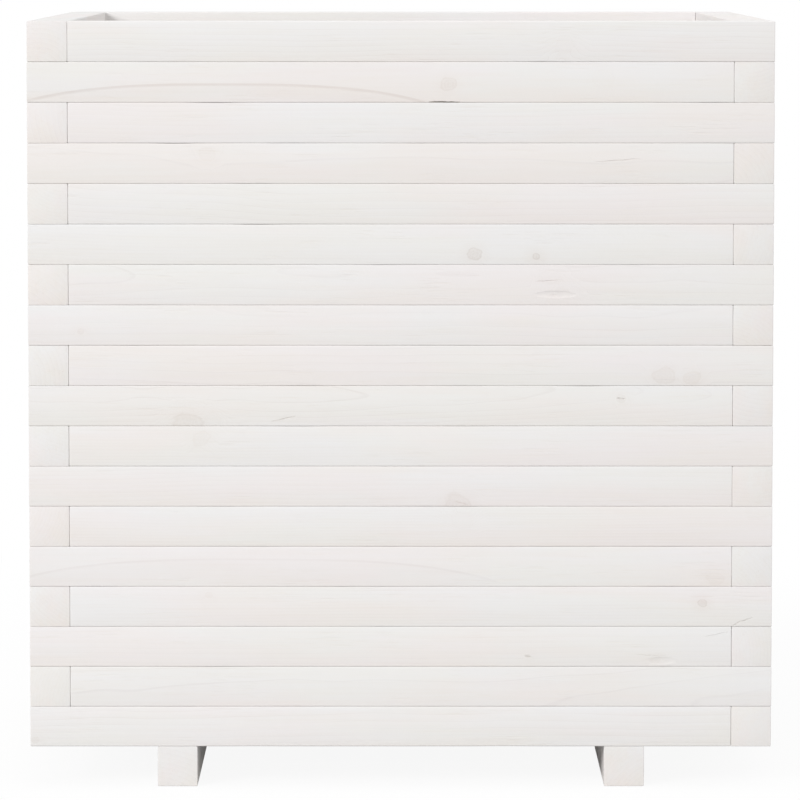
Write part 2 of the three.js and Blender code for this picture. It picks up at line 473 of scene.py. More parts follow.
# Faint, cloudy tints in the wash: from cool to rosy, and from clear to creamy
COOL, ROSY = (0.987, 1.0, 1.0), (1.0, 0.983, 0.980)
CLEAR, CREAMY = (1.0, 1.0, 1.001), (1.0, 0.999, 0.981)
CREAM_PLACE = (7.3, 0, 0)  # what keeps the cream's noise apart from the rose's


def knot_fields(sheet, place):
    """How far a point lies in the knots' bodies, dark hearts, rims and stained halos, and how
    far they push the rings aside."""
    along, _, up = sheet.split(place)
    ripple = sheet.math("MULTIPLY_ADD", sheet.noise(place, (90, 130, 130), 3), 1.3, -0.65)
    mottle = sheet.math("MULTIPLY_ADD", sheet.noise(place, (700, 420, 420), 2), 1.3, 0.05)
    body, heart, rim, halo, push = 0.0, 0.0, 0.0, 0.0, 0.0
    for number in range(1, KNOTS_PER_TIMBER + 1):
        outputs = sheet.attribute(f"knot_{number}")
        knot_along, knot_up, radius = sheet.split(outputs["Vector"])
        darkness = outputs["Alpha"]
        off_along = sheet.math("DIVIDE", sheet.less(along, knot_along), KNOT_STRETCH)
        away = sheet.length(sheet.combine(off_along, 0.0, sheet.less(up, knot_up)))
        reach = sheet.plus(sheet.math("DIVIDE", away, radius), ripple)
        inside = sheet.remap(reach, 1.15, 0.72)
        edge = sheet.remap(sheet.math("ABSOLUTE", sheet.less(reach, 0.95)), 0.18, 0.02)
        stain = sheet.remap(sheet.less(away, radius), HALO_REACH, 0.0)
        around = sheet.remap(reach, 2.6, 0.7)
        year = sheet.math("SINE", sheet.times(reach, KNOT_YEARS))
        depth = sheet.math("MULTIPLY_ADD", year, YEAR_CONTRAST, mottle)
        body = sheet.most(body, inside)
        heart = sheet.most(heart, sheet.times(inside, depth, darkness))
        rim = sheet.most(rim, sheet.times(edge, darkness))
        halo = sheet.most(halo, sheet.times(stain, darkness))
        push = sheet.plus(push, sheet.times(around, radius))
    return body, heart, rim, halo, push


def shifted(sheet, place):
    """The place moved along by the timber's own seed, so that no two timbers look alike."""
    seed, _, _ = sheet.stored("log")
    return sheet.moved(place, sheet.combine(seed, seed, 0.0))


def late_wood_line(sheet, place, own, push):
    """The late wood, which rises slowly and then to 1 in the thin line that ends a ring, and
    the groove that wears beside that line."""
    along, across, up = sheet.split(place)
    _, pith_across, pith_up = sheet.stored("log")
    arch_at, arch_curve, spacing = sheet.stored("rings")
    offset, _, wander = sheet.stored("lines")
    off_pith = sheet.combine(0.0, sheet.less(across, pith_across), sheet.less(up, pith_up))
    from_arch = sheet.math("ABSOLUTE", sheet.less(along, arch_at))
    arch = sheet.times(sheet.math("POWER", from_arch, ARCH_POWER), arch_curve)
    sway = sheet.less(sheet.noise(own, RING_SWAY, 2), 0.5)
    radius = sheet.plus(sheet.length(off_pith), arch, sheet.times(sway, wander), push, offset)
    plunge = sheet.remap(sheet.math("ABSOLUTE", arch), *PLUNGE, 1.0, 0.0)
    year = sheet.math("FRACT", sheet.math("DIVIDE", radius, spacing))

    def band(rise, fall):
        return sheet.times(sheet.remap(year, *rise), sheet.remap(year, *fall))

    slow, thin = band(*SLOW_BAND), band(*THIN_BAND)
    line = sheet.math("MULTIPLY_ADD", slow, SLOW_SHARE, sheet.times(thin, THIN_SHARE))
    return sheet.times(line, plunge), sheet.times(band(*GROOVE_BAND), plunge)


def washed_pine(sheet, finish, cover, pillow, end_grain):
    """Pine under whitewash. The wash thins out over the late wood and knots, and painted shade
    makes each timber paler towards its upper edge and darker towards its lower one.
    """
    place = sheet.attribute("timber")["Vector"]
    own = shifted(sheet, place)
    _, across, up = sheet.split(place)
    _, strength, _ = sheet.stored("lines")
    body, heart, rim, halo, push = knot_fields(sheet, place)
    line, groove = late_wood_line(sheet, place, own, push)

    stretch = 60 if end_grain else 9
    bare_patch = sheet.noise(own, (3, 30, 30), 2)
    fibre = sheet.noise(own, (stretch, 900, 900), 2, 0.6)
    streak = sheet.noise(own, (stretch, 260, 260), 2)
    fleck = sheet.noise(own, (stretch * 4, 850, 850), 1)
    crowd = sheet.noise(own, (11, 60, 60), 1)
    rose = sheet.noise(own, (3, 16, 16), 3, 0.6)
    cream = sheet.noise(sheet.moved(own, CREAM_PLACE), (4, 20, 20), 3, 0.6)

    shows = sheet.times(sheet.remap(bare_patch, 0.36, 0.62, 0.2, 1.0), strength)
    if end_grain:
        shows = sheet.times(shows, END_LINES)
    shows = sheet.times(shows, sheet.less(1.0, body))
    flecks = sheet.times(sheet.remap(fleck, 0.57, 0.70), sheet.remap(crowd, 0.45, 0.66))

    bare = sheet.mix(line, finish.early_wood, finish.late_wood)
    stained = sheet.mix(halo, bare, finish.resin)
    knotted = sheet.mix(sheet.most(heart, rim), stained, finish.knot)
    half = SLAT_HEIGHT / 2
    thin = sheet.plus(
        sheet.times(line, shows, THIN_AT_LINE),
        sheet.times(halo, THIN_AT_HALO),
        sheet.times(heart, THIN_AT_HEART),
        sheet.times(rim, THIN_AT_RIM),
        sheet.times(flecks, THIN_AT_FLECK),
        sheet.remap(streak, 0.35, 0.75, -0.012, 0.022),
        sheet.remap(fibre, 0.3, 0.8, -0.006, 0.008),
        sheet.remap(bare_patch, 0.3, 0.7, -0.014, 0.022),
        # painted shade: the wash's cover falls from a timber's upper edge to its lower one, so the
        # colour darkens downwards
        sheet.remap(up, half, -half, -PAINTED_SHADE_DOWN_TIMBER, PAINTED_SHADE_DOWN_TIMBER, smooth=False),
        THIN_AT_ENDS if end_grain else 0.0,
    )
    colour = sheet.mix(sheet.math("SUBTRACT", cover, thin, clamp=True), knotted, finish.wash)
    for cloud, first, second in ((rose, COOL, ROSY), (cream, CLEAR, CREAMY)):
        tint = sheet.mix(sheet.remap(cloud, 0.38, 0.62), first, second)
        colour = sheet.mix(1.0, colour, tint, "MULTIPLY")

    crown = sheet.times(up, up)
    if end_grain:
        crown = sheet.math("MULTIPLY_ADD", across, across, crown)
    height = sheet.plus(
        sheet.times(crown, -pillow / half ** 2),
        sheet.times(fibre, FIBRE_RELIEF),
        sheet.times(sheet.times(groove, shows), -GROOVE_RELIEF),
        sheet.times(rim, -RIM_RELIEF),
        sheet.times(flecks, -FLECK_RELIEF),
    )
    roughness = sheet.remap(fibre, 0.3, 0.7, 0.62, 0.78)
    return sheet.surface(colour, roughness, height, specular=PINE_SPECULAR)


def bare_pine(sheet, finish):
    """Unfinished pine inside drilled holes."""
    fibre = sheet.noise(shifted(sheet, sheet.attribute("timber")["Vector"]), (40, 700, 700), 3)
    colour = sheet.mix(sheet.remap(fibre, 0.3, 0.75), finish.early_wood, finish.late_wood)
    roughness = sheet.remap(fibre, 0.3, 0.7, 0.75, 0.9)
    return sheet.surface(colour, roughness, sheet.times(fibre, BARE_RELIEF), specular=PINE_SPECULAR)


def zinc_plate(sheet, finish):
    """Zinc plate: bright, a little cloudy, with fine turning marks."""
    place = sheet.own_place()
    cloud = sheet.noise(place, (260, 260, 260), 3)
    grain = sheet.noise(place, (2200, 2200, 2200), 2)
    dull = tuple(DULL_ZINC * channel for channel in finish.zinc)
    colour = sheet.mix(sheet.remap(cloud, 0.35, 0.7), finish.zinc, dull)
    roughness = sheet.remap(cloud, 0.3, 0.7, 0.28, 0.46)
    return sheet.surface(colour, roughness, sheet.times(grain, ZINC_RELIEF), metallic=1.0)


def dress_timber(piece, slot):
    """Gives a timber its side grain, end grain and bare inside, in the slots' order."""
    finish = bpy.context.scene.planter.finish
    cover = finish.floor_cover if slot == "floor_pine" else finish.cover
    pillow = finish.pillow * (1 if slot == "slat_pine" else LEVEL_PILLOW)
    for name, end_grain in ((f"washed_{slot}", False), (f"washed_{slot}_ends", True)):
        piece.data.materials.append(once(name, washed_pine, finish, cover, pillow, end_grain))
    piece.data.materials.append(once("bare_pine", bare_pine, finish))


# ---------------- timber

SIDE_GRAIN, END_GRAIN, BARE_INSIDE = 0, 1, 2
FACE_CUTS = 3  # cuts along a face, so that it can crown
EDGE_SEGMENTS, CHAMFER_SEGMENTS = 4, 2
END_FACING = 0.8  # how squarely a face looks along the timber to be end grain

# The bow and the opening joints follow noise: its waves per metre, and what is added to it,
# after which it counts from 0 to 1. The power keeps joints shut, apart from short openings
BOW_WAVES, BOW_LIFT = 5, 0.5
OPENING_WAVES, OPENING_LIFT, OPENING_POWER = 13, 0.35, 4
FACE_APART, SHELF_APART, OPENING_SEED = 3, 5, 40  # what keeps their noise apart


def planed_block(size, settings):
    """A bmesh block along X, cut into stations, with rounded edges and eased ends."""
    half = size / 2
    near = settings.edge_radius / 10  # less than this counts as nothing
    block = bmesh.new()
    bmesh.ops.create_cube(block, size=1.0)
    bmesh.ops.scale(block, vec=size, verts=block.verts)
    long_edges = [e for e in block.edges if abs(e.verts[0].co.x - e.verts[1].co.x) > half.x]
    cuts = max(1, round(size.x / settings.station) - 1)
    bmesh.ops.subdivide_edges(block, edges=long_edges, cuts=cuts, use_grid_fill=True)
    cross = [e for e in block.edges if abs(e.verts[0].co.x - e.verts[1].co.x) < near]
    bmesh.ops.subdivide_edges(block, edges=cross, cuts=FACE_CUTS, use_grid_fill=True)

    def on_corner(vert):
        return half.y - abs(vert.co.y) < near and half.z - abs(vert.co.z) < near

    corners = [e for e in block.edges if all(on_corner(v) for v in e.verts)
               and abs(e.verts[0].co.x - e.verts[1].co.x) > near]
    bmesh.ops.bevel(block, geom=corners, offset=settings.edge_radius, offset_type="OFFSET",
                    segments=EDGE_SEGMENTS, profile=0.5, affect="EDGES", material=-1)

    def is_end(face):
        return all(half.x - abs(v.co.x) < near for v in face.verts)

    rims = [e for e in block.edges if sum(is_end(f) for f in e.link_faces) == 1]
    bmesh.ops.bevel(block, geom=rims, offset=settings.end_chamfer, offset_type="OFFSET",
                    segments=CHAMFER_SEGMENTS, profile=0.5, affect="EDGES", material=-1)
    return block


def season(block, size, settings, seed):
    """Lets the block bow, shrink and crown a little, inwards only."""
    half = size / 2
    for vert in block.verts:
        x, y, z = vert.co
        side = math.copysign(1, y)
        shelf = math.copysign(1, z)
        wander = BOW_LIFT + noise.noise(Vector((x * BOW_WAVES, side * FACE_APART, seed)))
        opening = OPENING_LIFT + noise.noise(
            Vector((x * OPENING_WAVES, shelf * SHELF_APART, seed + OPENING_SEED)))
        back = settings.bow * min(1, max(0, wander)) + settings.crown * (z / half.z) ** 2
        shrink = settings.joint_gap * min(1, max(0, opening)) ** OPENING_POWER
        vert.co.y = y * (1 - back / half.y)
        vert.co.z = z * (1 - shrink / half.z)


MERGE_DISTANCE = 0.001 * MM


def turned_cutter(profile, steps=40):
    """A closed body of revolution about Z, from radius and height pairs that end on the axis
    or close on themselves."""
    cutter = bmesh.new()
    verts = [cutter.verts.new((radius, 0, height)) for radius, height in profile]
    edges = [cutter.edges.new(pair) for pair in zip(verts, verts[1:])]
    bmesh.ops.spin(cutter, geom=verts + edges, cent=(0, 0, 0), axis=(0, 0, 1),
                   angle=2 * math.pi, steps=steps, use_merge=True)
    bmesh.ops.remove_doubles(cutter, verts=cutter.verts, dist=MERGE_DISTANCE)
    bmesh.ops.recalc_face_normals(cutter, faces=cutter.faces)
    return cutter


CRACK_WANDER, CRACK_WAVES = 1 * MM, 160  # how far a crack strays from a line, waves per metre


def crack_cutter(length, width, depth, tilt, seed):
    """A thin spindle, centred on a face, that opens a drying crack in it."""
    cutter = bmesh.new()
    bmesh.ops.create_uvsphere(cutter, u_segments=20, v_segments=14, radius=0.5)
    bmesh.ops.rotate(cutter, verts=cutter.verts, matrix=Matrix.Rotation(QUARTER_TURN, 3, "Y"))
    bmesh.ops.scale(cutter, vec=(length, 2 * depth, width), verts=cutter.verts)
    for vert in cutter.verts:
        vert.co.z += CRACK_WANDER * noise.noise(Vector((vert.co.x * CRACK_WAVES, seed, 0)))
    bmesh.ops.rotate(cutter, verts=cutter.verts, matrix=Matrix.Rotation(-tilt, 3, "Y"))
    return cutter


def write_stock(mesh, stock):
    """Stores the timber's own coordinates and what its grain is read from."""
    count = len(mesh.vertices)
    place = mesh.attributes.new("timber", "FLOAT_VECTOR", "POINT")
    place.data.foreach_set("vector", [axis for v in mesh.vertices for axis in v.co])
    for name in ("log", "rings", "lines"):
        layer = mesh.attributes.new(name, "FLOAT_VECTOR", "POINT")
        layer.data.foreach_set("vector", list(stock[name]) * count)
    for number, knot in enumerate(stock["knots"], 1):
        layer = mesh.attributes.new(f"knot_{number}", "FLOAT_COLOR", "POINT")
        layer.data.foreach_set("color", list(knot) * count)


NO_KNOT = (9.0, 0.0, MM, 0.0)  # far past any timber's end, and not dark
RING_WANDER, ARCH_WANDER = 8 * MM, 1 * MM


def sawn_from(rng, size, knots=None, arch=None):
    """Where in the tree a timber was cut: its log, its rings, their lines and its knots. What
    the photograph doesn't show is drawn at random."""
    turn = rng.uniform(0, 2 * math.pi)
    far = rng.uniform(35, 90) * MM
    pith = (far * math.cos(turn), far * math.sin(turn))
    rings = (rng.uniform(-0.3, 0.3), rng.uniform(-0.06, 0.09), rng.uniform(2.6, 5.5) * MM)
    lines = (0.0, rng.choice((0.05, 0.1, 0.16, 0.26)), RING_WANDER)
    if arch:
        at, curve, depth, below, spacing, offset, strength = arch
        pith = (depth * MM - size.y / 2, -below * MM)
        rings = (at * MM, curve, spacing * MM)
        lines = (offset * MM, strength, ARCH_WANDER)
    if knots is None:
        knots = [(rng.uniform(-0.48, 0.48) * size.x, rng.uniform(-0.55, 0.55) * size.z,
                  rng.uniform(2.5, 8) * MM, rng.choice((0.08, 0.15, 0.25, 0.45)))
                 for _ in range(rng.choice((0, 1, 1, 2)))]
    knots = (list(knots) + [NO_KNOT] * KNOTS_PER_TIMBER)[:KNOTS_PER_TIMBER]
    return {"log": (rng.uniform(1, 60), *pith), "rings": rings, "lines": lines, "knots": knots}


def make_timber(name, size, seed, stock, cutters=()):
    """A finished timber about the origin along X, in its own three material slots."""
    settings = bpy.context.scene.planter.timber
    block = planed_block(size, settings)
    season(block, size, settings, seed)
    for face in block.faces:
        face.material_index = END_GRAIN if abs(face.normal.x) > END_FACING else SIDE_GRAIN
    piece = linked(name, mesh_of(name, block))
    for cutter, place, inside in cutters:
        for face in cutter.faces:
            face.material_index = inside
        combine(piece, stood_at(cutter, place), "DIFFERENCE")
    write_stock(piece.data, stock)
    smooth(piece.data)
    weighted = piece.modifiers.new("weighted normals", "WEIGHTED_NORMAL")
    weighted.keep_sharp = True
    return piece


def lay(piece, matrix, *nodes):
    """Moves a timber's mesh to its place on the planter, where it stands for its nodes."""
    piece.data.transform(matrix)
    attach(piece, "root")
    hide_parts(*nodes)


# ---------------- slats


def radius_of(node):
    """The radius of an upright round piece, from its node's box."""
    low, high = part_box(node)
    return (high.x - low.x) / 2


def rod_bore(course, settings):
    """What is drilled out of a course's slat for the corner rod, about the rod's own axis."""
    room = settings.hole_clearance
    hole = radius_of("front_left_rod") + room
    middle = BOX_BASE + (course - 0.5) * SLAT_HEIGHT
    above = SLAT_HEIGHT / 2 + room
    below = -above
    if course == 1:
        wide = radius_of("front_left_rod_nut") + 3 * room
        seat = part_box("front_left_rod_nut")[1].z - middle
        return [(0, below), (wide, below), (wide, seat), (hole, seat), (hole, above), (0, above)]
    if course == COURSES:
        pocket = radius_of("front_left_rod_insert") + room
        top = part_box("front_left_rod_insert")[1].z - middle + room
        return [(0, below), (pocket, below), (pocket, top), (0, top)]
    return [(0, below), (hole, below), (hole, above), (0, above)]


def front_marks(course, centre):
    """The photographed knots of one front slat, about the slat's own centre."""
    return [(along * MM - centre, up * MM, radius * MM, darkness)
            for at, along, up, radius, darkness in FRONT_KNOTS if at == course]


def front_cracks(course, centre):
    """Cutters for the photographed cracks of one front slat, with where they go."""
    face = -SLAT_THICKNESS / 2
    return [(crack_cutter(length * MM, width * MM, depth * MM, math.radians(tilt), along),
             (along * MM - centre, face, up * MM), SIDE_GRAIN)
            for at, along, up, length, width, depth, tilt in FRONT_CRACKS if at == course]


WALL_SEEDS, RUNNER_SEEDS, FLOOR_SEEDS = 100, 500, 600  # where each group's seeds start


def make_slat(side, course, node):
    """One slat of a wall, laid over the right-hand corner or the left-hand one in turn."""
    settings = bpy.context.scene.planter.timber
    turns = WALLS[side]
    spans = (BOX_WIDTH, BOX_DEPTH)
    wall_length, wall_depth = spans if turns % 2 == 0 else reversed(spans)
    toward = 1 if (COURSES - course) % 2 == 0 else -1  # to the right-hand corner, or the left
    size = Vector((wall_length - SLAT_THICKNESS, SLAT_THICKNESS, SLAT_HEIGHT))
    centre = toward * SLAT_THICKNESS / 2
    seed = WALL_SEEDS * turns + course
    rng = random.Random(seed)
    knots = front_marks(course, centre) if side == "front" else None
    arch = FRONT_ARCHES.get(course) if side == "front" else None
    if arch:
        arch = (arch[0] - centre / MM, *arch[1:])
    stock = sawn_from(rng, size, knots, arch)
    rod_at = toward * (size.x - SLAT_THICKNESS) / 2
    cutters = [(turned_cutter(rod_bore(course, settings)), (rod_at, 0, 0), BARE_INSIDE)]
    if side == "front":
        cutters += front_cracks(course, centre)
    slat = make_timber(f"{side}_slat_course_{course:02d}", size, seed, stock, cutters)
    dress_timber(slat, "slat_pine")
    height = BOX_BASE + (course - 0.5) * SLAT_HEIGHT
    place = Matrix.Translation((centre, (SLAT_THICKNESS - wall_depth) / 2, height))
    lay(slat, Matrix.Rotation(turns * QUARTER_TURN, 4, "Z") @ place, node)


class PLANTER_OT_wall(bpy.types.Operator):
    """Stack one wall's slats, with their ends running out over alternate corners"""

    bl_idname = "planter.wall"
    bl_label = "Wall"

    side: StringProperty(name="Side", description="front, right, back or left", default="front")

    def execute(self, context):
        for course, node in sorted(wall_nodes(self.side).items()):
            make_slat(self.side, course, node)
        return {"FINISHED"}


# ---------------- runners and floor

# How a timber's own axes, along, across and up, are turned to lay it
RUN_BACKWARDS = Matrix.Rotation(QUARTER_TURN, 4, "Z")
LIE_FLAT = Matrix.Rotation(QUARTER_TURN, 4, "X")

RUNNER_COUNTERBORE = 12 * MM  # how deep a runner's screw heads lie
COUNTERBORE_RADIUS = 5.5 * MM
COUNTERSINK_RADIUS, COUNTERSINK_DEPTH, PILOT_RADIUS = 4.7 * MM, 3.6 * MM, 1.6 * MM
COUNTERSINK_LAND = 0.4 * MM  # straight wall above the countersink's cone
CUT_PAST = 1 * MM  # how far a cutter stands out of what it cuts


def make_level_timber(node, slot, turn, seed, cutters):
    """A runner or floor board in its node's box. The turn lays it from its own axes."""
    low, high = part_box(node)
    size = Vector([abs(side) for side in turn.to_3x3().inverted() @ (high - low)])
    laid = Matrix.Translation((low + high) / 2) @ turn
    own = []
    for cutter, place in cutters:
        stood_at(cutter, place)
        bmesh.ops.transform(cutter, matrix=laid.inverted(), verts=cutter.verts)
        own.append((cutter, (0, 0, 0), BARE_INSIDE))
    rng = random.Random(seed)
    timber = make_timber(f"{node}_timber", size, seed, sawn_from(rng, size), own)
    dress_timber(timber, slot)
    lay(timber, laid, node)


def floor_screw_places():
    """Two screws through each floor board into each runner."""
    places = []
    for node in FLOOR_NODES:
        low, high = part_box(node)
        quarter = (high.y - low.y) / 4
        for runner in RUNNER_NODES:
            runner_low, runner_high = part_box(runner)
            x = (runner_low.x + runner_high.x) / 2
            places += [Vector((x, low.y + quarter, high.z)), Vector((x, high.y - quarter, high.z))]
    return places


def runner_screw_places():
    """One screw up through each end of each runner into the lowest course."""
    places = []
    for runner in RUNNER_NODES:
        low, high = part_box(runner)
        x = (low.x + high.x) / 2
        for y in (low.y + SLAT_THICKNESS / 2, high.y - SLAT_THICKNESS / 2):
            places.append(Vector((x, y, low.z + RUNNER_COUNTERBORE)))
    return places


def countersink():
    """The hole that a floor board's screw head sits in, from its upper face down."""
    return turned_cutter([(0, -COUNTERSINK_DEPTH), (PILOT_RADIUS, -COUNTERSINK_DEPTH),
                          (COUNTERSINK_RADIUS, -COUNTERSINK_LAND), (COUNTERSINK_RADIUS, CUT_PAST),
                          (0, CUT_PAST)], 24)


def counterbore():
    """The deep hole that a runner's screw head sits in, from its lower face up."""
    return turned_cutter([(0, -CUT_PAST), (COUNTERBORE_RADIUS, -CUT_PAST),
                          (COUNTERBORE_RADIUS, RUNNER_COUNTERBORE), (0, RUNNER_COUNTERBORE)], 32)


class PLANTER_OT_runners(bpy.types.Operator):
    """Lay the two runners that the box stands on, from front to back"""

    bl_idname = "planter.runners"
    bl_label = "Runners"

    def execute(self, context):
        for number, node in enumerate(RUNNER_NODES):
            low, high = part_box(node)
            cutters = [(counterbore(), Vector((place.x, place.y, low.z)))
                       for place in runner_screw_places() if low.x < place.x < high.x]
            seed = RUNNER_SEEDS + number
            make_level_timber(node, "runner_pine", RUN_BACKWARDS, seed, cutters)
        return {"FINISHED"}


class PLANTER_OT_floor(bpy.types.Operator):
    """Lay the floor boards on the runners, inside the lowest course"""

    bl_idname = "planter.floor"
    bl_label = "Floor boards"

    def execute(self, context):
        for number, node in enumerate(FLOOR_NODES):
            low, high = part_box(node)
            cutters = [(countersink(), place) for place in floor_screw_places()
                       if low.y < place.y < high.y]
            make_level_timber(node, "floor_pine", LIE_FLAT, FLOOR_SEEDS + number, cutters)
        return {"FINISHED"}


# ---------------- steel

THREAD_PITCH = 1.25 * MM
THREAD_DEPTH = 0.7 * MM
THREAD_RIDGE = ((0.0, 0), (0.2, 0), (0.5, 1), (0.62, 1))  # shares of the pitch and of the depth
THREADED_ENDS = {"lower": 26 * MM, "upper": 24 * MM}
THREAD_CLEARANCE = 0.3 * MM
ROD_TIP = 1 * MM  # chamfer at a rod's ends
TIP_STEP = 0.4 * MM  # how far the chamfer's upper rim lies inside the thread's crests
SHANK_CHAMFER = 0.5 * MM
THREAD_LAP = 0.1 * MM  # how far the threads run into the shank
THREAD_START = 0.5 * MM  # from a rod's end to its thread
NUT_FLAT = 6.5 * MM  # from the axis to a flat
NUT_CHAMFER = 1.1 * MM
FLANGE_HEIGHT, FLANGE_SLOPE = 2 * MM, 1.4 * MM
BORE_CHAMFER, THROAT = 1.6 * MM, 0.7 * MM  # how far a nut's bore opens, and how deep that goes
EASE = 0.2 * MM  # on the edges of nuts and screw heads
INSERT_RIDGES, INSERT_BITE = 7, 0.8 * MM
SCREW_HEAD, SCREW_SHANK, SCREW_NECK, SCREW_POINT = 4.4 * MM, 2.0 * MM, 3.0 * MM, 5 * MM
SCREW_RECESS = (4.6 * MM, 0.95 * MM, 3.0 * MM)  # one bar of the cross in a screw's head
RECESS_TAPER = (0.45, 0.6, 1)  # what is left of the bar at its tip
FLOOR_SCREW, RUNNER_SCREW = 45 * MM, 50 * MM
SCREW_SINK = 0.3 * MM  # how far a head lies below the board's face


def threaded_bar(radius, low, high, steps=24):
    """A closed length of screw thread about Z, with its helix cut off flat at both ends."""
    bar = bmesh.new()
    turns = math.ceil((high - low) / THREAD_PITCH) + 3
    start = low - 2 * THREAD_PITCH
    root = radius - THREAD_DEPTH
    points = [(root + rise * THREAD_DEPTH, start + (turn + part) * THREAD_PITCH)
              for turn in range(turns) for part, rise in THREAD_RIDGE]
    verts = [bar.verts.new((r, 0, z)) for r, z in points]
    edges = [bar.edges.new(pair) for pair in zip(verts, verts[1:])]
    bmesh.ops.spin(bar, geom=verts + edges, cent=(0, 0, 0), axis=(0, 0, 1), angle=2 * math.pi,
                   dvec=(0, 0, THREAD_PITCH / steps), steps=steps)
    bmesh.ops.remove_doubles(bar, verts=bar.verts, dist=10 * MERGE_DISTANCE)
    for height, out in ((low, False), (high, True)):
        bmesh.ops.bisect_plane(bar, geom=bar.verts[:] + bar.edges[:] + bar.faces[:],
                               plane_co=(0, 0, height), plane_no=(0, 0, 1),
                               clear_outer=out, clear_inner=not out, dist=MERGE_DISTANCE)
        rim = [e for e in bar.edges if e.is_boundary
               and all(abs(v.co.z - height) < 2 * MERGE_DISTANCE for v in e.verts)]
        bmesh.ops.contextual_create(bar, geom=rim)
    bmesh.ops.recalc_face_normals(bar, faces=bar.faces)
    return bar


def copied(shape, places):
    """A copy of one bmesh for each place, in one bmesh, and frees the first."""
    several = bmesh.new()
    for place in places:
        append_shape(several, stood_at(shape.copy(), place))
    shape.free()
    return several


def steel_piece(name, parts, *nodes):
    """One piece of zinced steel from bmeshes that already stand in their places."""
    whole = bmesh.new()
    for part in parts:
        append_shape(whole, part)
    piece = linked(name, mesh_of(name, whole))
    piece.data.materials.append(once("zinc_plate", zinc_plate, bpy.context.scene.planter.finish))
    smooth(piece.data)
    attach(piece, "root")
    if nodes:
        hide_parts(*nodes)
    return piece


def make_rod(corner):
    """A steel rod with a screw thread at each end."""
    low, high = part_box(f"{corner}_rod")
    axis = (low + high) / 2
    radius = radius_of(f"{corner}_rod")
    lower_end = low.z + THREADED_ENDS["lower"]
    upper_end = high.z - THREADED_ENDS["upper"]
    neck = radius - SHANK_CHAMFER
    shoulder = radius - TIP_STEP
    shank = turned_cutter([(0, lower_end), (neck, lower_end), (radius, lower_end + ROD_TIP),
                           (radius, upper_end - ROD_TIP), (neck, upper_end), (0, upper_end)], 32)
    point = turned_cutter([(0, low.z), (radius - ROD_TIP, low.z), (shoulder, low.z + ROD_TIP),
                           (0, low.z + ROD_TIP)], 32)
    crown = turned_cutter([(0, high.z - ROD_TIP), (shoulder, high.z - ROD_TIP),
                           (radius - ROD_TIP, high.z), (0, high.z)], 32)
    parts = [shank, point, crown,
             threaded_bar(radius, low.z + THREAD_START, lower_end + THREAD_LAP),
             threaded_bar(radius, upper_end - THREAD_LAP, high.z - THREAD_START)]
    place = (axis.x, axis.y, 0)
    steel_piece(f"{corner}_threaded_rod", [stood_at(part, place) for part in parts],
                f"{corner}_rod")


def make_nut(corner):
    """A hexagon nut with chamfered points and a flange that bears against the wood."""
    low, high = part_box(f"{corner}_rod_nut")
    axis = (low + high) / 2
    flange = radius_of(f"{corner}_rod_nut")
    bore = radius_of(f"{corner}_rod") + THREAD_CLEARANCE
    lip = high.z - FLANGE_HEIGHT
    point = NUT_FLAT / math.cos(math.pi / 6)
    hexagon = bmesh.new()
    bmesh.ops.create_circle(hexagon, cap_ends=True, segments=6, radius=point)
    top = bmesh.ops.extrude_face_region(hexagon, geom=hexagon.faces[:])["geom"]
    bmesh.ops.translate(hexagon, verts=[v for v in top if isinstance(v, bmesh.types.BMVert)],
                        vec=(0, 0, high.z - FLANGE_HEIGHT / 2 - low.z))
    stood_at(hexagon, (0, 0, low.z))
    bmesh.ops.recalc_face_normals(hexagon, faces=hexagon.faces)
    nut = steel_piece(f"{corner}_flange_nut", [hexagon], f"{corner}_rod_nut")
    past_point = point + EASE
    rounding = turned_cutter([(0, low.z), (NUT_FLAT, low.z), (past_point, low.z + NUT_CHAMFER),
                              (past_point, high.z), (0, high.z)], 48)
    combine(nut, rounding, "INTERSECT")
    washer = turned_cutter([(0, lip - FLANGE_SLOPE), (NUT_FLAT - EASE, lip - FLANGE_SLOPE),
                            (flange - 2 * EASE, lip), (flange, lip + 2 * EASE),
                            (flange, high.z - EASE), (flange - EASE, high.z), (0, high.z)], 48)
    combine(nut, washer, "UNION")
    mouth = bore + BORE_CHAMFER
    hole = turned_cutter([(0, low.z - CUT_PAST), (mouth, low.z - CUT_PAST),
                          (bore, low.z + THROAT), (bore, high.z - THROAT),
                          (mouth, high.z + CUT_PAST), (0, high.z + CUT_PAST)], 48)
    combine(nut, hole, "DIFFERENCE")
    nut.data.transform(Matrix.Translation((axis.x, axis.y, 0)))
    smooth(nut.data)


def make_insert(corner):
    """A threaded insert: a sleeve with a coarse outer thread that bites into the wood."""
    low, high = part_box(f"{corner}_rod_insert")
    axis = (low + high) / 2
    outer = radius_of(f"{corner}_rod_insert")
    bore = radius_of(f"{corner}_rod") + THREAD_CLEARANCE
    tall = (high.z - low.z) / INSERT_RIDGES
    profile = [(bore, low.z)]
    for ridge in range(INSERT_RIDGES):
        base = low.z + ridge * tall
        profile += [(outer - INSERT_BITE, base + 0.1 * tall), (outer, base + 0.5 * tall),
                    (outer - INSERT_BITE, base + 0.9 * tall)]
    profile += [(bore, high.z), (bore, low.z)]
    sleeve = turned_cutter(profile, 32)
    steel_piece(f"{corner}_insert", [stood_at(sleeve, (axis.x, axis.y, 0))],
                f"{corner}_rod_insert")


class PLANTER_OT_rods(bpy.types.Operator):
    """Put the threaded rods through the corners, with their nuts below and inserts above"""

    bl_idname = "planter.rods"
    bl_label = "Corner rods"

    def execute(self, context):
        for corner in CORNERS:
            make_rod(corner)
            make_nut(corner)
            make_insert(corner)
        return {"FINISHED"}


